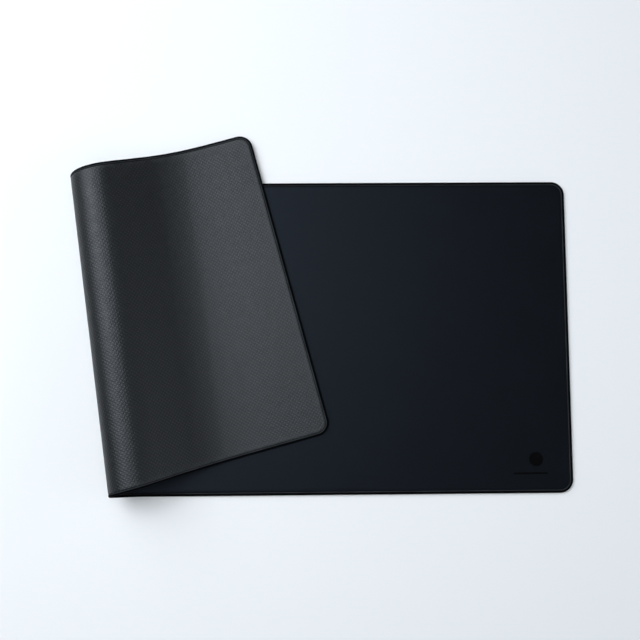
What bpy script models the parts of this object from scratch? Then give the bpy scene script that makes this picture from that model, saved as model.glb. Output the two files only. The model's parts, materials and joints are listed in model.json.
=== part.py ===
"""A rubber-backed cloth desk mat with a stitched edge, its left third folded over to the right.

The mat is laid out flat first: +X along its length, +Y to the rear, +Z up, with the origin at the
middle of the unfolded mat on the surface that it lies on. It is then bent along parallel fold lines.
Between two fold lines the mat is a stiff strip, and each strip hangs on the empty of its own fold
line, which is a child of the empty before it. Turning those empties back to zero unrolls the mat.
"""

import math

import bmesh
import bpy
from mathutils import Quaternion, Vector

# The unfolded mat, in metres
LENGTH = 0.900
WIDTH = 0.400
CORNER_RADIUS = 0.017
ARC_STEPS = 8

# Its layers, from the surface that it lies on upwards
RUBBER_THICKNESS = 0.0029
CLOTH_THICKNESS = 0.0008
GAP = 0.0003
FACE_HEIGHT = RUBBER_THICKNESS + GAP + CLOTH_THICKNESS

# The stitched edge
STITCH_WIDTH = 0.0046
STITCH_HEIGHT = 0.0043
STITCH_ROUNDING = 0.0012
ROUNDING_STEPS = 2

# The fold. A line's place is its distance from the mat's middle along X, and every line leans
# to the left from the front edge to the rear edge.
FOLD_START = -0.103
FOLD_LEAN = 0.053
LOOP_LENGTH = 0.145
LOOP_TURN = math.radians(213)
LOOP_LINES = 11
LANDING_LINES = 3

# The mat bends between its two layers, and the folded panel lies stitching on stitching.
FOLD_HEIGHT = RUBBER_THICKNESS + GAP / 2
PANEL_RISE = 2 * (STITCH_HEIGHT - FOLD_HEIGHT) + GAP

# The printed mark near the front right corner
MARK_CENTRE = (0.4032, -0.1574)
MARK_DIAMETER = 0.018
MARK_STEPS = 48
MARK_THICKNESS = 0.0002
MARK_GAP = 0.0001

# Colour, roughness and metallic value of each material
FINISHES = {
    "face_cloth": ((0.010, 0.012, 0.017), 0.85, 0.0),
    "rubber_base": ((0.045, 0.047, 0.050), 0.55, 0.0),
    "edge_stitching": ((0.016, 0.017, 0.020), 0.70, 0.0),
    "corner_mark": ((0.003, 0.003, 0.004), 0.50, 0.0),
}

LEAN_COSINE = WIDTH / math.hypot(WIDTH, FOLD_LEAN)
FOLD_AXIS = Vector((-FOLD_LEAN, WIDTH, 0)).normalized()
HALF_LENGTH = LENGTH / 2
HALF_WIDTH = WIDTH / 2


def clear_scene():
    for thing in list(bpy.data.objects):
        bpy.data.objects.remove(thing)


def make_materials():
    """One Principled material for each kind of piece."""
    materials = {}
    for name, (colour, roughness, metallic) in FINISHES.items():
        material = bpy.data.materials.new(name)
        material.use_nodes = True
        shader = material.node_tree.nodes["Principled BSDF"]
        shader.inputs["Base Color"].default_value = (*colour, 1)
        shader.inputs["Roughness"].default_value = roughness
        shader.inputs["Metallic"].default_value = metallic
        materials[name] = material
    return materials


# Where the mat bends


def lobe(count):
    """Shares of a stretch at which a bend that swells and fades like a half sine has turned by
    equal steps."""
    return [math.acos(1 - (2 * i + 1) / count) / math.pi for i in range(count)]


def rise_of(places, turns):
    """Height of the last line over the first once every line is bent."""
    height = 0
    heading = 0
    for i in range(len(places) - 1):
        heading += turns[i]
        height += (places[i] - places[i + 1]) * LEAN_COSINE * math.sin(heading)
    return height


def fold_lines():
    """Each line's place and turn, from the main panel to the folded panel.

    The loop turns past half a turn, and the landing turns the rest back, so that the folded panel
    lies parallel to the main panel. The landing is as long as brings it down to PANEL_RISE.
    """
    landing_turn = LOOP_TURN - math.pi
    turns = [LOOP_TURN / LOOP_LINES] * LOOP_LINES
    turns += [-landing_turn / LANDING_LINES] * LANDING_LINES

    def places(landing_length):
        loop = [FOLD_START - LOOP_LENGTH * share for share in lobe(LOOP_LINES)]
        landing_start = FOLD_START - LOOP_LENGTH
        return loop + [landing_start - landing_length * share for share in lobe(LANDING_LINES)]

    rise_at_zero = rise_of(places(0), turns)
    rise_per_metre = rise_of(places(1), turns) - rise_at_zero
    landing_length = (PANEL_RISE - rise_at_zero) / rise_per_metre
    return list(zip(places(landing_length), turns))


def clearance(turn):
    """Half the width of the slot along a line, so that the layer inside the bend has room."""
    inner_layer = STITCH_HEIGHT - FOLD_HEIGHT if turn > 0 else FOLD_HEIGHT
    return GAP / 2 + inner_layer * math.tan(abs(turn) / 2)


def add_fold_empties(lines, collection):
    """The chain of empties: the first holds the main panel, and each other one is at a fold line."""
    here = Vector((0, 0, 0))
    chain = [add_empty("main_panel", here, None, collection)]
    corners = [here]
    for number, (place, turn) in enumerate(lines, 1):
        there = Vector((place, 0, FOLD_HEIGHT))
        empty = add_empty(f"fold_line_{number:02d}", there - here, chain[-1], collection)
        empty.rotation_quaternion = Quaternion(FOLD_AXIS, turn)
        chain.append(empty)
        corners.append(there)
        here = there
    return list(zip(chain, corners))


def add_empty(name, location, parent, collection):
    empty = bpy.data.objects.new(name, None)
    empty.empty_display_size = 0.02
    empty.rotation_mode = "QUATERNION"
    empty.location = location
    empty.parent = parent
    collection.objects.link(empty)
    return empty


# Outlines in the flat layout. An edge is a list of points from the front to the rear.


def cut_edge(place, offset, front, rear):
    """The cut along a fold line, moved sideways by offset."""
    return [(place - FOLD_LEAN * y / WIDTH + offset, y) for y in (front, rear)]


def round_end(side, inset):
    """The mat's right (side 1) or left (side -1) end with its two corners, inset from the outline."""
    radius = CORNER_RADIUS - inset
    across = HALF_LENGTH - CORNER_RADIUS
    along = HALF_WIDTH - CORNER_RADIUS
    points = []
    for centre_y, first in ((-along, -90), (along, 0)):
        for step in range(ARC_STEPS + 1):
            angle = math.radians(first + 90 * step / ARC_STEPS)
            x = across + radius * math.cos(angle)
            y = centre_y + radius * math.sin(angle)
            points.append((side * x, y))
    return points


class Panel:
    """A stretch of the mat between two fold lines, or between a fold line and an end."""

    def __init__(self, lines, number):
        self.right = lines[number - 1] if number > 0 else None
        self.left = lines[number] if number < len(lines) else None

    def right_edge(self, front, rear, inset):
        if self.right is None:
            return round_end(1, inset)
        place, turn = self.right
        return cut_edge(place, -clearance(turn), front, rear)

    def left_edge(self, front, rear, inset):
        if self.left is None:
            return round_end(-1, inset)
        place, turn = self.left
        return cut_edge(place, clearance(turn), front, rear)

    def sheet(self, inset):
        """The outline of a layer that ends inset from the mat's own outline."""
        reach = HALF_WIDTH - inset
        return self.right_edge(-reach, reach, inset) + self.left_edge(-reach, reach, inset)[::-1]

    def straight_stitching(self, side):
        """The two long edges of the stitching at the front (side -1) or the rear (side 1)."""
        inner = side * (HALF_WIDTH - STITCH_WIDTH)
        outer = side * HALF_WIDTH
        right = self.right_edge(inner, outer, 0)
        left = self.left_edge(inner, outer, 0)
        return [right[1], left[1]], [right[0], left[0]]

    def end_stitching(self):
        """The two long edges of the stitching that runs round the panel's end."""
        sides = []
        for inset in (0, STITCH_WIDTH):
            reach = HALF_WIDTH - inset
            if self.right is None:
                cut = self.left_edge(-reach, reach, inset)
                end = self.right_edge(-reach, reach, inset)
            else:
                cut = self.right_edge(-reach, reach, inset)
                end = self.left_edge(-reach, reach, inset)
            sides.append([cut[0], *end, cut[1]])
        return sides


# Solids


def extrude_outline(outline, low, high):
    """A closed prism from low to high over a flat outline."""
    solid = bmesh.new()
    floor = solid.faces.new([solid.verts.new((x, y, low)) for x, y in outline])
    grown = bmesh.ops.extrude_face_region(solid, geom=[floor])["geom"]
    roof = [thing for thing in grown if isinstance(thing, bmesh.types.BMVert)]
    bmesh.ops.translate(solid, verts=roof, vec=(0, 0, high - low))
    bmesh.ops.recalc_face_normals(solid, faces=solid.faces)
    return solid


def round_long_edges(solid, long_sides, radius):
    """Rounds the level edges that run along the stitching, but not its cut ends."""
    keys = [{(round(x, 6), round(y, 6)) for x, y in side} for side in long_sides]
    chosen = []
    for edge in solid.edges:
        a, b = (vertex.co for vertex in edge.verts)
        level = abs(a.z - b.z) < 1e-6
        if level and any({(round(p.x, 6), round(p.y, 6)) for p in (a, b)} <= side for side in keys):
            chosen.append(edge)
    bmesh.ops.bevel(solid, geom=chosen, offset=radius, segments=ROUNDING_STEPS,
                    profile=0.5, affect="EDGES", clamp_overlap=True)


def add_solid(name, solid, material, holder, collection):
    """Makes an object of a solid in the flat layout, hung on an empty that is at holder's corner."""
    parent, corner = holder
    bmesh.ops.translate(solid, verts=solid.verts, vec=-corner)
    mesh = bpy.data.meshes.new(name)
    solid.to_mesh(mesh)
    solid.free()
    mesh.materials.append(material)
    thing = bpy.data.objects.new(name, mesh)
    thing.parent = parent
    collection.objects.link(thing)
    return thing


def add_layers(label, panel, holder, materials, collection):
    """The rubber base and the face cloth of one panel."""
    outline = panel.sheet(STITCH_WIDTH + GAP)
    rubber = extrude_outline(outline, 0, RUBBER_THICKNESS)
    add_solid(f"rubber_base_{label}", rubber, materials["rubber_base"], holder, collection)
    cloth = extrude_outline(outline, RUBBER_THICKNESS + GAP, FACE_HEIGHT)
    add_solid(f"face_cloth_{label}", cloth, materials["face_cloth"], holder, collection)


def add_stitching(name, sides, holder, materials, collection):
    """A run of the stitched edge between its two long edges."""
    outer, inner = sides
    solid = extrude_outline(outer + inner[::-1], 0, STITCH_HEIGHT)
    round_long_edges(solid, sides, STITCH_ROUNDING)
    thing = add_solid(name, solid, materials["edge_stitching"], holder, collection)
    thing.data.shade_smooth()
    thing.data.set_sharp_from_angle(angle=math.radians(40))


def add_mark(holder, materials, collection):
    """A plain round print."""
    x, y = MARK_CENTRE
    outline = []
    for step in range(MARK_STEPS):
        turn = 2 * math.pi * step / MARK_STEPS
        outline.append((x + MARK_DIAMETER / 2 * math.cos(turn), y + MARK_DIAMETER / 2 * math.sin(turn)))
    low = FACE_HEIGHT + MARK_GAP
    solid = extrude_outline(outline, low, low + MARK_THICKNESS)
    add_solid("corner_mark", solid, materials["corner_mark"], holder, collection)


def build_mat():
    clear_scene()
    collection = bpy.data.collections.new("desk_mat")
    bpy.context.scene.collection.children.link(collection)
    materials = make_materials()
    lines = fold_lines()
    holders = add_fold_empties(lines, collection)
    last = len(lines)
    for number, holder in enumerate(holders):
        panel = Panel(lines, number)
        label = {0: "main", last: "folded"}.get(number, f"strip_{number:02d}")
        add_layers(label, panel, holder, materials, collection)
        if number in (0, last):
            name = f"edge_stitching_{label}"
            add_stitching(name, panel.end_stitching(), holder, materials, collection)
            continue
        for place, side in (("front", -1), ("rear", 1)):
            name = f"edge_stitching_{place}_{number:02d}"
            add_stitching(name, panel.straight_stitching(side), holder, materials, collection)
    add_mark(holders[0], materials, collection)


build_mat()
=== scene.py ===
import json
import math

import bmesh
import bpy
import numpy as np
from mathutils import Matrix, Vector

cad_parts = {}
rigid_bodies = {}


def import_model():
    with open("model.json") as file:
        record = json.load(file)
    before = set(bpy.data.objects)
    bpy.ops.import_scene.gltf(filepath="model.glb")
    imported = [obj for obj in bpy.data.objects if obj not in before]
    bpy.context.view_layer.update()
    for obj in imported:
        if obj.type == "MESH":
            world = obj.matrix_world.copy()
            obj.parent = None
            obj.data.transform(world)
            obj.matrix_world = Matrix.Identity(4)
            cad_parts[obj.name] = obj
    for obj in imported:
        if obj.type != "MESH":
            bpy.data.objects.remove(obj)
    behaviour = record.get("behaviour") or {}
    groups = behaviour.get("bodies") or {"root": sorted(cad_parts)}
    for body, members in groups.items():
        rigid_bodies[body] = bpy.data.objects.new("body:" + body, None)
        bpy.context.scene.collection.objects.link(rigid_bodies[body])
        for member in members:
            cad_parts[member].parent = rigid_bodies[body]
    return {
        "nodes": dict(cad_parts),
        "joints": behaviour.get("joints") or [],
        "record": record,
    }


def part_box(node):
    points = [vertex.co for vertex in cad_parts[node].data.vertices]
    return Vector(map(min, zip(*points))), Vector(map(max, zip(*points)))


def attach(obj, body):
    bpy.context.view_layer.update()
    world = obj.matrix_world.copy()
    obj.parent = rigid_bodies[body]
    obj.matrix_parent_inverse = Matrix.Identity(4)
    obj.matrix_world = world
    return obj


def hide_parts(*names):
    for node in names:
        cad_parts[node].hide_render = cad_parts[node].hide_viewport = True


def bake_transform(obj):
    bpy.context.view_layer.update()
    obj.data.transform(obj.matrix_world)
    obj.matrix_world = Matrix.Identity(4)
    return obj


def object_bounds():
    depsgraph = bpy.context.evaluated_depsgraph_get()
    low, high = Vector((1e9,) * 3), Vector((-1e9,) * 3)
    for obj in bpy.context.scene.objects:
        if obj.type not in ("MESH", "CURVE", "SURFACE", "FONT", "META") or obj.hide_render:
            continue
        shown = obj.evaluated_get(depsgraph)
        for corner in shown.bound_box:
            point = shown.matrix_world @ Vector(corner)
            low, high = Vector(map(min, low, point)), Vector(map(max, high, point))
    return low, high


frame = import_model()

# The looks of a stitched desk mat whose left third is folded over.
#
# Every piece is first laid out flat: +X along the mat, +Y to the rear, +Z up, the origin at the
# middle of the unfolded mat. Then it is taken to its place at rest. The main panel stays where it
# is, and each hinge of the frame bends one stretch of the mat, from halfway to the hinge before it
# to halfway to the hinge after it. A stretch is named for its hinge, and is tied to neither of the
# bodies that the hinge joins.

CAD_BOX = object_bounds()
JOINTS = frame["joints"]
RATIOS = {c["joint"]: c["ratio"] for c in frame["record"]["behaviour"]["couplings"]}

# The fold lines, which lean a little from the mat's own +Y, and the way across them to the left
FOLD_AXIS = -Vector(JOINTS[0]["axis"])
LEAN_COSINE = FOLD_AXIS.y
LEAN_SLOPE = -FOLD_AXIS.x / FOLD_AXIS.y
LEFTWARD = np.array((-FOLD_AXIS.y, FOLD_AXIS.x, 0))

# Heights and outline, from the frame
HALF_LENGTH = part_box("edge_stitching_main")[1].x
HALF_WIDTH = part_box("edge_stitching_main")[1].y
RUBBER_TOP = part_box("rubber_base_main")[1].z
CLOTH_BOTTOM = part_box("face_cloth_main")[0].z
CLOTH_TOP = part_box("face_cloth_main")[1].z
STITCH_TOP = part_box("edge_stitching_main")[1].z
LAYER_INSET = HALF_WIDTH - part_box("face_cloth_main")[1].y

# The corners, as round as the CAD model's
CORNER_RADIUS = 0.017
CORNER_STEPS = 14

# How the layers are drawn in towards the stitching. They reach in under it by the tuck, and are quite
# flat beyond the margin.
SHOULDER_ROWS = 6
SHOULDER_SPACING = 1.6
SHOULDER_CURVE = 2.2
CLOTH_SHOULDER = 0.0065
CLOTH_DROP = 0.00055
RUBBER_SHOULDER = 0.0030
RUBBER_DROP = 0.00025
TUCK = 0.0004
FLAT_MARGIN = 0.012

# The stitched edge. A crest is where a highlight is painted on the thread, as a share of the way round.
# Near a panel's cut the thread leans as the fold lines do, and the lean fades along the edge.
STITCH_HALF_WIDTH = 0.0023
STITCH_HALF_HEIGHT = STITCH_TOP / 2
STITCH_GIRTH = math.pi * (STITCH_HALF_WIDTH + STITCH_HALF_HEIGHT)
THREAD_PITCH = 0.0016
THREAD_RIDGE = 0.00020
THREAD_ROUNDING = 0.8
THREAD_SLANT = 0.8
THREAD_STATIONS = 4
THREAD_TOP_CREST = 0.14
THREAD_UNDER_CREST = 0.815
SECTION_POINTS = 14
SECTION_POWER = 0.78
LEAN_FADE = 0.040

# Steps across one bend, and the lip at each of its ends
BEND_STEPS = 10
LIP_LENGTH = 0.00035
LIP_DEPTH = 0.00004

# The generic mark: the CAD disc and a plain bar in front of it
BAR_LENGTH = 0.044
BAR_WIDTH = 0.0024
BAR_GAP = 0.0086
BAR_SHIFT = -0.0074
BAR_END_STEPS = 8

UV_NAME = "flat_layout"
SHARP_EDGE = math.radians(50)


# The hinges, and how each bends the flat mat


class Hinge:
    """One fold line, with the stretch of the mat that bends over it.

    place is where the line crosses the middle of the flat mat, turn is how far the mat is bent
    over it at rest, and before is the matrix of the panel to its right.
    """

    def __init__(self, joint, before):
        self.parent = joint["parent"]
        self.child = joint["child"]
        self.number = JOINTS.index(joint) + 1
        self.centre = before.inverted() @ Vector(joint["pos_m"])
        self.place = self.centre.x
        opening = math.radians(JOINTS[0]["range_deg"][1]) * RATIOS.get(joint["name"], 1.0)
        self.turn = -opening * Vector(joint["axis"]).dot(FOLD_AXIS)
        self.before = before
        spin = Matrix.Rotation(self.turn, 4, FOLD_AXIS)
        shift = Matrix.Translation(self.centre)
        self.after = before @ shift @ spin @ shift.inverted()

    def bend(self, points):
        """Flat points taken to rest. The mat's middle layer follows a parabola whose two tangents
        are the flat panels on either side, and they meet at the fold line."""
        offset = points - np.array(self.centre)
        along = offset @ LEFTWARD
        across = offset @ np.array(FOLD_AXIS)
        grown = along + self.right_reach
        stretch = self.left_reach - self.right_reach
        share = grown / (self.right_reach + np.sqrt(self.right_reach**2 + stretch * grown))
        right_part = self.right_reach * (1 - share)
        left_part = self.left_reach * share
        heading = np.arctan2(left_part * math.sin(self.turn),
                             right_part + left_part * math.cos(self.turn))
        left = -right_part * (1 - share) + left_part * share * math.cos(self.turn)
        rise = left_part * share * math.sin(self.turn)
        left -= np.sin(heading) * offset[:, 2]
        rise += np.cos(heading) * offset[:, 2]
        flat = (np.array(self.centre) + np.outer(left, LEFTWARD)
                + np.outer(across, np.array(FOLD_AXIS)) + np.outer(rise, (0, 0, 1)))
        return moved(flat, self.before)

    def set_stretch(self, right, left):
        """The stretch runs from one ruling of the flat mat to another, both given by their place."""
        self.right = right
        self.left = left
        self.right_reach = (right - self.place) * LEAN_COSINE
        self.left_reach = (self.place - left) * LEAN_COSINE


def moved(points, matrix):
    """Points taken through a 4 by 4 matrix."""
    m = np.array(matrix)
    return points @ m[:3, :3].T + m[:3, 3]


def outer_reach(count):
    """How far a run of bends starts before its first line, as a share of its first gap. The lines
    stand where a bend that swells and fades like a half sine has turned by equal steps."""
    first, second = (math.acos(1 - (2 * i + 1) / count) for i in range(2))
    return first / (second - first)


def read_hinges():
    """The hinges from right to left, each with its stretch of the mat."""
    hinges = []
    matrix = Matrix.Identity(4)
    for joint in JOINTS:
        hinge = Hinge(joint, matrix)
        hinges.append(hinge)
        matrix = hinge.after
    runs = [[h for h in hinges if h.turn > 0], [h for h in hinges if h.turn < 0]]
    for run in runs:
        reach = outer_reach(len(run))
        edges = [(a.place + b.place) / 2 for a, b in zip(run, run[1:])]
        first = run[0].place + reach * (run[0].place - run[1].place)
        last = run[-1].place - reach * (run[-2].place - run[-1].place)
        edges = [first, *edges, last]
        for hinge, right, left in zip(run, edges, edges[1:]):
            hinge.set_stretch(right, left)
            hinge.first = hinge is run[0]
            hinge.last = hinge is run[-1]
    return hinges


HINGES = read_hinges()


# Blend spans, worked out but not set


def unsmooth(weight):
    """Where a smooth step reaches this weight."""
    return 0.5 - math.sin(math.asin(1 - 2 * weight) / 3)


def blend_over(piece, hinge):
    """Bakes the piece's place into its mesh. It works out the span of a blend between the hinge's two
    bodies, but sets no blend.

    Inside a run of bends, a stretch would turn from a quarter to three quarters of the way, and its
    neighbours the rest, which would unroll the parabolas into a level sheet. The span runs straight
    across the fold lines.
    """
    low = unsmooth(0.0 if hinge.first else 0.25)
    high = unsmooth(1.0 if hinge.last else 0.75)
    rows = [(place, 0, hinge.centre.z) for place in (hinge.right, hinge.left)]
    right, left = (Vector(p) for p in hinge.bend(np.array(rows)))
    span = left - right
    span -= FOLD_AXIS * span.dot(FOLD_AXIS)
    span /= high - low
    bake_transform(piece)


# Meshes. A ring is a closed loop of flat points, and a loft joins rings and closes both its ends.


def loft(name, rings, place, layout, material):
    """A closed mesh over rings of equal length. place takes flat points to rest, and layout gives
    each flat point's place in the material's own pattern, in metres."""
    rings = np.asarray(rings, float)
    count, size = rings.shape[:2]
    flat = rings.reshape(-1, 3)
    mesh = bpy.data.meshes.new(name)
    ring = np.arange(size)
    following = (ring + 1) % size
    faces = [list(ring[::-1]), list(ring + (count - 1) * size)]
    for i in range(count - 1):
        low = ring + i * size
        low_next = following + i * size
        faces += np.stack((low, low_next, low_next + size, low + size), 1).tolist()
    mesh.from_pydata(place(flat).tolist(), [], faces)
    fill = bmesh.new()
    fill.from_mesh(mesh)
    bmesh.ops.recalc_face_normals(fill, faces=fill.faces)
    fill.to_mesh(mesh)
    fill.free()
    corners = np.empty(len(mesh.loops), np.int32)
    mesh.loops.foreach_get("vertex_index", corners)
    uv = mesh.uv_layers.new(name=UV_NAME)
    uv.data.foreach_set("uv", np.asarray(layout, float).reshape(-1, 2)[corners].ravel())
    mesh.materials.append(material)
    mesh.shade_smooth()
    mesh.set_sharp_from_angle(angle=SHARP_EDGE)
    piece = bpy.data.objects.new(name, mesh)
    bpy.context.scene.collection.objects.link(piece)
    return piece


def even(flat):
    """The main panel rests where it is laid out."""
    return flat


def ruling(place, y):
    """Where the ruling through this place of the flat mat is, at depth y."""
    return place - LEAN_SLOPE * y


def shoulder(inner, edge_height, width, drop):
    """(inset, height) rows of a layer's surface, from the flat field down to the stitching."""
    rows = [(inner + FLAT_MARGIN, edge_height)]
    for row in range(SHOULDER_ROWS + 1):
        share = 1 - row / SHOULDER_ROWS
        inset = inner + width * share**SHOULDER_SPACING
        rows.append((inset, edge_height - drop * (1 - share) ** SHOULDER_CURVE))
    return rows


def cloth_profile():
    inner = LAYER_INSET - TUCK
    return shoulder(inner, CLOTH_TOP, CLOTH_SHOULDER, CLOTH_DROP) + [(inner, CLOTH_BOTTOM)]


def rubber_profile():
    inner = LAYER_INSET - TUCK
    return shoulder(inner, 0.0, RUBBER_SHOULDER, -RUBBER_DROP) + [(inner, RUBBER_TOP)]


def panel_outline(side, cut, inset, height):
    """The flat outline of the main (side 1) or folded (side -1) panel, inset from the mat's own by
    less than its corner radius."""
    radius = CORNER_RADIUS - inset
    across = HALF_LENGTH - CORNER_RADIUS
    along = HALF_WIDTH - CORNER_RADIUS
    reach = HALF_WIDTH - inset
    points = [(ruling(cut, -reach), -reach, height)]
    for centre_y, first in ((-along, -90), (along, 0)):
        for step in range(CORNER_STEPS + 1):
            angle = math.radians(first + 90 * step / CORNER_STEPS)
            x = across + radius * math.cos(angle)
            y = centre_y + radius * math.sin(angle)
            points.append((side * x, y, height))
    points.append((ruling(cut, reach), reach, height))
    return points


def panel_rings(profile, side, cut):
    """The panel's layer from the flat field outwards. The field stops short of the cut too."""
    field = panel_outline(side, cut + side * FLAT_MARGIN, *profile[0])
    return [field] + [panel_outline(side, cut, inset, height) for inset, height in profile[1:]]


def bend_places(hinge):
    """Rulings across a stretch, closer together towards its ends, so that it meets its
    neighbours smoothly."""
    shares = [(1 - math.cos(math.pi * i / BEND_STEPS)) / 2 for i in range(BEND_STEPS + 1)]
    return [hinge.right + (hinge.left - hinge.right) * share for share in shares]


def bend_rings(profile, hinge):
    """The layer's cross-section at each ruling of a stretch. A sunk lip at each end reaches just
    inside the next piece, so that no gap would show between them if the bend were opened."""
    sink = math.copysign(LIP_DEPTH, profile[-1][1] - profile[0][1])
    sunk = [(inset + LIP_DEPTH, height + sink) for inset, height in profile[:-1]]
    sunk.append((profile[-1][0] + LIP_DEPTH, profile[-1][1] - sink))

    def ring(place, rows):
        front = [(inset - HALF_WIDTH, height) for inset, height in rows]
        section = front + [(-y, height) for y, height in front[::-1]]
        return [(ruling(place, y), y, z) for y, z in section]

    right_lip = [ring(hinge.right + LIP_LENGTH, sunk), ring(hinge.right, sunk)]
    left_lip = [ring(hinge.left, sunk), ring(hinge.left - LIP_LENGTH, sunk)]
    return right_lip + [ring(place, profile) for place in bend_places(hinge)] + left_lip


def flat_layout(rings):
    """A layer's pattern lies over it as the flat mat does."""
    return np.asarray(rings, float)[:, :, :2]


# The stitched edge


def edge_path(side, cut):
    """A function from a distance to (outline point, inward direction, share of the lean), along
    the edge of a panel from its front cut round its end to its rear cut, and the path's length."""
    straight = HALF_LENGTH - CORNER_RADIUS - side * ruling(cut, -HALF_WIDTH)
    arc = CORNER_RADIUS * math.pi / 2
    across = 2 * (HALF_WIDTH - CORNER_RADIUS)
    back = HALF_LENGTH - CORNER_RADIUS - side * ruling(cut, HALF_WIDTH)
    lengths = (straight, arc, across, arc, back)
    total = sum(lengths)

    def on_arc(centre_y, first, share):
        angle = math.radians(first + 90 * share)
        inward = Vector((-math.cos(angle), -math.sin(angle)))
        centre = Vector((HALF_LENGTH - CORNER_RADIUS, centre_y))
        return centre - inward * CORNER_RADIUS, inward

    def at(distance):
        lean = max(0.0, 1 - min(distance, total - distance) / LEAN_FADE)
        here = distance
        part = 0
        while part < len(lengths) - 1 and here > lengths[part]:
            here -= lengths[part]
            part += 1
        if part == 0:
            point = Vector((HALF_LENGTH - CORNER_RADIUS - straight + here, -HALF_WIDTH))
            inward = Vector((0, 1))
        elif part == 1:
            point, inward = on_arc(CORNER_RADIUS - HALF_WIDTH, -90, here / arc)
        elif part == 2:
            point = Vector((HALF_LENGTH, CORNER_RADIUS - HALF_WIDTH + here))
            inward = Vector((-1, 0))
        elif part == 3:
            point, inward = on_arc(HALF_WIDTH - CORNER_RADIUS, 0, here / arc)
        else:
            point = Vector((HALF_LENGTH - CORNER_RADIUS - here, HALF_WIDTH))
            inward = Vector((0, -1))
        point.x *= side
        inward.x *= side
        return point, inward, lean * lean * (3 - 2 * lean)

    return at, total


def straight_path(hinge, side):
    """The same along the front (side -1) or rear (side 1) edge of a stretch."""
    def at(distance):
        point = Vector((ruling(hinge.right - distance, side * HALF_WIDTH), side * HALF_WIDTH))
        return point, Vector((0, -side)), 1.0
    return at, hinge.right - hinge.left


def thread_section():
    """(inward, upward, share of the way round) of the stitching's section, in half widths and half
    heights from its middle, starting at its inner side."""
    rows = []
    for i in range(SECTION_POINTS):
        angle = 2 * math.pi * i / SECTION_POINTS
        x = math.copysign(abs(math.cos(angle)) ** SECTION_POWER, math.cos(angle))
        z = math.copysign(abs(math.sin(angle)) ** SECTION_POWER, math.sin(angle))
        rows.append((x, z, angle / (2 * math.pi)))
    return rows


def stitch_rings(path):
    """The rings and pattern layout of a run of wrapped thread along a path."""
    at, length = path
    threads = max(1, round(length / THREAD_PITCH))
    stations = threads * THREAD_STATIONS
    rings = []
    layout = []
    for station in range(stations + 1):
        distance = length * station / stations
        point, inward, lean = at(distance)
        ring = []
        marks = []
        for x, z, share in thread_section():
            lap = (station / THREAD_STATIONS + THREAD_SLANT * abs(2 * share - 1)) % 1
            ridge = THREAD_RIDGE * (1 - math.sin(math.pi * lap) ** THREAD_ROUNDING)
            inset = STITCH_HALF_WIDTH + (STITCH_HALF_WIDTH - ridge) * x
            height = STITCH_HALF_HEIGHT + (STITCH_HALF_HEIGHT - ridge) * z
            place = point + inward * inset
            ring.append((place.x - LEAN_SLOPE * inward.y * inset * lean, place.y, height))
            marks.append((distance, share * STITCH_GIRTH))
        rings.append(ring)
        layout.append(marks)
    return rings, layout


# Materials

# Sizes of the patterns in metres, how steeply the thread's plies are twisted, how far in from the
# edge the cloth is worn and the rubber turns lighter, and how far to either side of a crest its
# painted highlight lies and then fades
WARP_PITCH = 0.00055
WEFT_PITCH = 0.00042
NET_PITCH = 0.0035
PLY_PITCH = 0.0007
PLY_TWIST = 0.8
CLOTH_WEAR = 0.010
RUBBER_EDGE_REACH = 0.008
CREST_INNER = 0.0004
CREST_OUTER = 0.0011

# Colours
CLOTH_DARK = (0.0003, 0.0005, 0.0010, 1)
CLOTH_LIGHT = (0.0007, 0.0010, 0.0018, 1)
CLOTH_WORN = (0.016, 0.018, 0.022, 1)
CLOTH_GLOSS = (0.64, 0.78, 1.0, 1)
CLOTH_NAP = (0.80, 0.88, 1.0, 1)
RUBBER_DARK = (0.0006, 0.0008, 0.0011, 1)
RUBBER_LIGHT = (0.0014, 0.0018, 0.0023, 1)
# Painted highlight on the tops of the rubber's raised diamonds
RUBBER_DIAMOND_HIGHLIGHT = (0.015, 0.017, 0.019, 1)
# Lighter tone of the rubber near its edge
RUBBER_EDGE_TONE = (0.026, 0.027, 0.028, 1)
RUBBER_GLOSS = (0.92, 0.955, 1.0, 1)
THREAD_DARK = (0.0003, 0.0003, 0.0004, 1)
THREAD_LIGHT = (0.0008, 0.0009, 0.0012, 1)
# Painted highlight along the thread's crests
THREAD_CREST_HIGHLIGHT = (0.034, 0.037, 0.042, 1)
PRINT_DARK = (0.0003, 0.0003, 0.0005, 1)
PRINT_LIGHT = (0.0007, 0.0007, 0.0010, 1)
FLOOR_DARK = (0.865, 0.870, 0.875, 1)
FLOOR_LIGHT = (0.885, 0.885, 0.890, 1)


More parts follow.
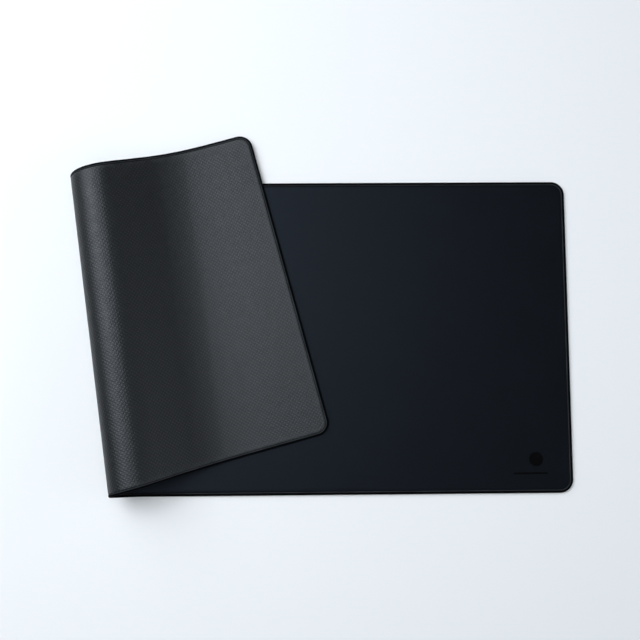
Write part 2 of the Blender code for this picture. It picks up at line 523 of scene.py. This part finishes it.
class Graph:
    """A material's node tree, with short ways to add nodes to it."""

    def __init__(self, name):
        self.material = bpy.data.materials.new(name)
        self.material.use_nodes = True
        self.tree = self.material.node_tree
        self.shader = self.tree.nodes["Principled BSDF"]

    def feed(self, socket, value):
        if isinstance(value, bpy.types.NodeSocket):
            self.tree.links.new(value, socket)
        else:
            socket.default_value = value

    def add(self, kind, settings=None, **inputs):
        """A node of this kind. Inputs are named as its sockets are, with _ for a space."""
        node = self.tree.nodes.new("ShaderNode" + kind)
        for key, value in (settings or {}).items():
            setattr(node, key, value)
        for key, value in inputs.items():
            self.feed(node.inputs[key.replace("_", " ")], value)
        return node

    def maths(self, operation, a, b=0.0):
        node = self.add("Math", {"operation": operation})
        self.feed(node.inputs[0], a)
        self.feed(node.inputs[1], b)
        return node.outputs[0]

    def ramp(self, value, low, high, start=0.0, end=1.0):
        """Takes value from low..high to start..end, smoothly."""
        node = self.add("MapRange", {"interpolation_type": "SMOOTHSTEP"}, Value=value)
        for name, number in (("From Min", low), ("From Max", high), ("To Min", start), ("To Max", end)):
            node.inputs[name].default_value = number
        return node.outputs["Result"]

    def layout(self):
        """The surface's own flat coordinates, in metres."""
        return self.add("UVMap", {"uv_map": UV_NAME}).outputs["UV"]

    def axes(self, vector):
        """The two coordinates of a flat pattern."""
        node = self.add("SeparateXYZ", Vector=vector)
        return node.outputs["X"], node.outputs["Y"]

    def turned(self, vector, degrees):
        """The coordinates turned about the sheet's normal."""
        node = self.add("Mapping", Vector=vector)
        node.inputs["Rotation"].default_value = (0, 0, math.radians(degrees))
        return node.outputs["Vector"]

    def noise(self, vector, size, detail=2.0, roughness=0.5):
        """Soft noise from 0 to 1 with features of about this size in metres."""
        node = self.add("TexNoise", Vector=vector, Scale=1 / size, Detail=detail, Roughness=roughness)
        return node.outputs["Fac"]

    def wave(self, coordinate, pitch):
        """0 at the middle of each band and 1 at its edges, every pitch metres."""
        turned = self.maths("DIVIDE", coordinate, pitch)
        return self.maths("MULTIPLY", self.maths("PINGPONG", turned, 0.5), 2.0)

    def mix(self, share, a, b):
        """From colour a to colour b by this share."""
        node = self.add("Mix", {"data_type": "RGBA"})
        self.feed(node.inputs["Factor"], share)
        self.feed(node.inputs["A"], a)
        self.feed(node.inputs["B"], b)
        return node.outputs["Result"]

    def bump(self, height, depth, under=None):
        """A normal raised by height, over the normal under it."""
        node = self.add("Bump", Distance=depth, Height=height)
        if under is not None:
            self.feed(node.inputs["Normal"], under)
        return node.outputs["Normal"]

    def shade(self, **inputs):
        """Feeds the shader, and gives the finished material."""
        for key, value in inputs.items():
            self.feed(self.shader.inputs[key.replace("_", " ")], value)
        return self.material


def edge_share(graph, layout, width):
    """1 at the mat's outline, falling to 0 this far in from it."""
    x, y = graph.axes(layout)
    from_end = graph.maths("SUBTRACT", HALF_LENGTH, graph.maths("ABSOLUTE", x))
    from_side = graph.maths("SUBTRACT", HALF_WIDTH, graph.maths("ABSOLUTE", y))
    nearest = graph.maths("MINIMUM", from_end, from_side)
    return graph.ramp(nearest, LAYER_INSET, LAYER_INSET + width, 1.0, 0.0)


def cloth_material():
    """Smooth knitted polyester, near black with a blue cast."""
    graph = Graph("face_cloth_knit")
    layout = graph.layout()
    x, y = graph.axes(layout)
    weave = graph.maths("MULTIPLY", graph.wave(x, WARP_PITCH), graph.wave(y, WEFT_PITCH))
    grain = graph.noise(layout, 0.0016, 3.0, 0.6)
    cloud = graph.noise(layout, 0.06, 3.0, 0.55)
    mottle = graph.maths("ADD", graph.maths("MULTIPLY", grain, 0.35), graph.maths("MULTIPLY", cloud, 0.65))
    base = graph.mix(graph.ramp(mottle, 0.35, 0.65), CLOTH_DARK, CLOTH_LIGHT)
    edge_tone = graph.maths("MULTIPLY", edge_share(graph, layout, CLOTH_WEAR), graph.ramp(grain, 0.35, 0.7))
    base = graph.mix(graph.maths("MULTIPLY", edge_tone, 0.15), base, CLOTH_WORN)
    rough = graph.maths("ADD", 0.38, graph.maths("MULTIPLY", cloud, 0.08))
    normal = graph.bump(weave, 0.00004)
    normal = graph.bump(grain, 0.00005, normal)
    return graph.shade(Base_Color=base, Roughness=rough, Normal=normal, Specular_IOR_Level=0.165,
                       Specular_Tint=CLOTH_GLOSS, Sheen_Weight=0.02, Sheen_Roughness=0.5,
                       Sheen_Tint=CLOTH_NAP)


def rubber_material():
    """Foamed natural rubber, moulded with a fine net of raised diamonds. The diamonds' tops carry a
    painted highlight that leaves the grooves darker as in shade, and the rubber is lighter near its edge.
    """
    graph = Graph("rubber_base_moulded")
    layout = graph.layout()
    u, v = graph.axes(graph.turned(layout, 45))
    groove = graph.maths("MAXIMUM", graph.wave(u, NET_PITCH), graph.wave(v, NET_PITCH))
    lozenge = graph.ramp(groove, 0.35, 0.75, 1.0, 0.0)
    foam = graph.noise(layout, 0.0006, 2.0, 0.6)
    skin = graph.noise(layout, 0.009, 4.0, 0.6)
    cloud = graph.noise(layout, 0.08, 3.0, 0.5)
    mottle = graph.maths("ADD", graph.maths("MULTIPLY", skin, 0.5), graph.maths("MULTIPLY", cloud, 0.5))
    base = graph.mix(graph.ramp(mottle, 0.35, 0.65), RUBBER_DARK, RUBBER_LIGHT)
    # Painted highlight: the raised diamonds are coloured lighter than the grooves, as where light catches
    # their tops.
    base = graph.mix(graph.maths("MULTIPLY", lozenge, 0.7), base, RUBBER_DIAMOND_HIGHLIGHT)
    # Lighter near the edge, in a band that fades inward.
    edge_tone = graph.maths("MULTIPLY", edge_share(graph, layout, RUBBER_EDGE_REACH), graph.ramp(skin, 0.3, 0.7))
    base = graph.mix(graph.maths("MULTIPLY", edge_tone, 0.4), base, RUBBER_EDGE_TONE)
    rough = graph.ramp(graph.maths("ADD", skin, graph.maths("MULTIPLY", foam, 0.3)), 0.4, 0.95, 0.36, 0.45)
    rough = graph.maths("ADD", rough, graph.maths("MULTIPLY", graph.ramp(groove, 0.6, 0.95), 0.12))
    normal = graph.bump(lozenge, 0.00012)
    normal = graph.bump(skin, 0.00024, normal)
    normal = graph.bump(foam, 0.00005, normal)
    return graph.shade(Base_Color=base, Roughness=rough, Normal=normal, Specular_IOR_Level=0.47,
                       Specular_Tint=RUBBER_GLOSS)


def thread_material():
    """Polyester thread in twisted plies, with a painted highlight along its crests, so that it looks
    darker round the outer side.
    """
    graph = Graph("edge_thread")
    layout = graph.layout()
    along, around = graph.axes(layout)
    ply = graph.wave(graph.maths("ADD", graph.maths("MULTIPLY", along, PLY_TWIST), around), PLY_PITCH)
    fuzz = graph.noise(layout, 0.0008, 3.0, 0.6)
    patch = graph.noise(layout, 0.030, 2.0, 0.5)
    from_crest = [graph.maths("ABSOLUTE", graph.maths("SUBTRACT", around, STITCH_GIRTH * crest))
                  for crest in (THREAD_TOP_CREST, THREAD_UNDER_CREST)]
    crested = graph.ramp(graph.maths("MINIMUM", *from_crest), CREST_INNER, CREST_OUTER, 1.0, 0.0)
    base = graph.mix(graph.ramp(fuzz, 0.3, 0.7), THREAD_DARK, THREAD_LIGHT)
    # Painted highlight along the thread's top and under crests, varied in strength by the patch noise.
    crest_highlight = graph.maths("MULTIPLY", crested, graph.ramp(patch, 0.3, 0.7, 0.55, 1.0))
    base = graph.mix(crest_highlight, base, THREAD_CREST_HIGHLIGHT)
    rough = graph.maths("ADD", 0.62, graph.maths("MULTIPLY", fuzz, 0.15))
    normal = graph.bump(ply, 0.00006)
    return graph.shade(Base_Color=base, Roughness=rough, Normal=normal, Specular_IOR_Level=0.03)


def mark_material():
    """Matt black transfer print with a slightly uneven skin."""
    graph = Graph("corner_print")
    place = graph.add("TexCoord").outputs["Object"]
    skin = graph.noise(place, 0.0009, 3.0, 0.6)
    patch = graph.noise(place, 0.006, 2.0, 0.5)
    base = graph.mix(graph.ramp(patch, 0.35, 0.65), PRINT_DARK, PRINT_LIGHT)
    rough = graph.ramp(skin, 0.3, 0.7, 0.48, 0.62)
    normal = graph.bump(skin, 0.00003)
    return graph.shade(Base_Color=base, Roughness=rough, Normal=normal, Specular_IOR_Level=0.05)


def floor_material():
    """Pale matt paint, slightly cloudy."""
    graph = Graph("floor_paint")
    place = graph.add("TexCoord").outputs["Object"]
    cloud = graph.noise(place, 0.5, 2.0, 0.5)
    base = graph.mix(cloud, FLOOR_DARK, FLOOR_LIGHT)
    return graph.shade(Base_Color=base, Roughness=0.9, Specular_IOR_Level=0.1)


# The pieces of each layer


def cad_nodes(kind, number):
    """The CAD solids of a kind that a stretch or panel stands for. The strips are one fewer than the
    stretches, so the last stretch has none."""
    name = {0: f"{kind}_main", len(HINGES) + 1: f"{kind}_folded"}.get(number, f"{kind}_strip_{number:02d}")
    return [name] if name in frame["nodes"] else []


def add_layer(kind, title, profile, material):
    """One layer as a main panel, a bent stretch for each hinge and a folded panel."""
    last = HINGES[-1]
    rings = panel_rings(profile, 1, HINGES[0].right)
    main = loft(f"{title}_main", rings, even, flat_layout(rings), material)
    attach(main, HINGES[0].parent)
    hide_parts(*cad_nodes(kind, 0))
    pieces = [main]
    for hinge in HINGES:
        rings = bend_rings(profile, hinge)
        name = f"{title}_bend_{hinge.number:02d}"
        piece = loft(name, rings, hinge.bend, flat_layout(rings), material)
        blend_over(piece, hinge)
        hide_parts(*cad_nodes(kind, hinge.number))
        pieces.append(piece)
    rings = panel_rings(profile, -1, last.left)
    folded = loft(f"{title}_folded", rings, lambda p: moved(p, last.after), flat_layout(rings), material)
    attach(folded, last.child)
    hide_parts(*cad_nodes(kind, len(HINGES) + 1))
    pieces.append(folded)
    return pieces


def add_stitching(material):
    """The wrapped edge: a U round each panel, and a front and a rear run over each bend."""
    last = HINGES[-1]
    rings, layout = stitch_rings(edge_path(1, HINGES[0].right))
    main = loft("stitching_main", rings, even, layout, material)
    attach(main, HINGES[0].parent)
    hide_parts("edge_stitching_main")
    pieces = [[main]]
    for hinge in HINGES:
        runs = []
        for title, side in (("front", -1), ("rear", 1)):
            rings, layout = stitch_rings(straight_path(hinge, side))
            run = loft(f"stitching_{title}_{hinge.number:02d}", rings, hinge.bend, layout, material)
            blend_over(run, hinge)
            node = f"edge_stitching_{title}_{hinge.number:02d}"
            if node in frame["nodes"]:
                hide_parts(node)
            runs.append(run)
        pieces.append(runs)
    rings, layout = stitch_rings(edge_path(-1, last.left))
    folded = loft("stitching_folded", rings, lambda p: moved(p, last.after), layout, material)
    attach(folded, last.child)
    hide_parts("edge_stitching_folded")
    pieces.append([folded])
    return pieces


def add_mark(material):
    """The CAD disc gets its print, and a plain bar stands in front of it."""
    disc = frame["nodes"]["corner_mark"]
    for slot in disc.material_slots:
        slot.material = material
    low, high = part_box("corner_mark")
    centre = Vector(((low.x + high.x) / 2 + BAR_SHIFT, low.y - BAR_GAP))
    half_run = (BAR_LENGTH - BAR_WIDTH) / 2
    outline = []
    for end, first in ((1, -90), (-1, 90)):
        for step in range(BAR_END_STEPS + 1):
            angle = math.radians(first + 180 * step / BAR_END_STEPS)
            x = centre.x + end * half_run + BAR_WIDTH / 2 * math.cos(angle)
            outline.append((x, centre.y + BAR_WIDTH / 2 * math.sin(angle)))
    rings = [[(x, y, z) for x, y in outline] for z in (low.z, high.z)]
    bar = loft("mark_bar", rings, even, flat_layout(rings), material)
    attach(bar, "main_panel")


# Floor, camera and light

FLOOR_SIZE = 12.0
FLOOR_DEPTH = 0.0003

CAMERA_PLACE = (0.1136, -0.0859, 1.1674)
CAMERA_TURN = (0.0920, -0.0143, -0.0081)
CAMERA_LENS = 51.37
SENSOR_WIDTH = 36.0

LIGHT_DISTANCE = 2.2
LIGHT_SIZE = 1.6
DAYLIGHT = (0.945, 1.0, 1.05)
WORLD_COLOUR = (0.90, 0.95, 1.0, 1)
WORLD_STRENGTH = 0.075

# Each light's angle from overhead, its direction (0 is +X, 90 is the rear) and its power in watts
LIGHTS = {
    "key": (20, 128, 18.5),
    "key_side": (54, 135, 12.5),
    "left": (38, 165, 18.5),
    "left_high": (27, 160, 8.0),
    "front": (20, 270, 5.0),
    "right_low": (72, 0, 10.5),
    "corner_low": (72, 315, 3.6),
}


def add_floor(material):
    bpy.ops.mesh.primitive_plane_add(size=FLOOR_SIZE, location=(0, 0, -FLOOR_DEPTH))
    floor = bpy.context.object
    floor.name = "floor"
    floor.data.materials.append(material)


def add_camera():
    data = bpy.data.cameras.new("camera")
    data.lens = CAMERA_LENS
    data.sensor_width = SENSOR_WIDTH
    camera = bpy.data.objects.new("camera", data)
    camera.location = CAMERA_PLACE
    camera.rotation_euler = CAMERA_TURN
    bpy.context.scene.collection.objects.link(camera)
    bpy.context.scene.camera = camera


def add_area_light(name, tilt, azimuth, power):
    """A soft square light that faces the middle of the mat."""
    tilt = math.radians(tilt)
    azimuth = math.radians(azimuth)
    direction = Vector((math.sin(tilt) * math.cos(azimuth), math.sin(tilt) * math.sin(azimuth),
                        math.cos(tilt)))
    data = bpy.data.lights.new(name, "AREA")
    data.shape = "SQUARE"
    data.size = LIGHT_SIZE
    data.energy = power
    data.color = DAYLIGHT
    light = bpy.data.objects.new(name, data)
    middle = Vector(((CAD_BOX[0].x + CAD_BOX[1].x) / 2, 0, 0))
    light.location = middle + direction * LIGHT_DISTANCE
    light.rotation_euler = direction.to_track_quat("Z", "Y").to_euler()
    bpy.context.scene.collection.objects.link(light)


def add_lights():
    for name, (tilt, azimuth, power) in LIGHTS.items():
        add_area_light(name, tilt, azimuth, power)
    world = bpy.data.worlds.new("studio")
    world.use_nodes = True
    background = world.node_tree.nodes["Background"]
    background.inputs["Color"].default_value = WORLD_COLOUR
    background.inputs["Strength"].default_value = WORLD_STRENGTH
    bpy.context.scene.world = world
    bpy.context.scene.view_settings.view_transform = "Standard"


add_camera()
cloth_pieces = add_layer("face_cloth", "cloth", cloth_profile(), cloth_material())
rubber_pieces = add_layer("rubber_base", "rubber", rubber_profile(), rubber_material())
stitch_pieces = add_stitching(thread_material())
add_mark(mark_material())
add_floor(floor_material())
add_lights()
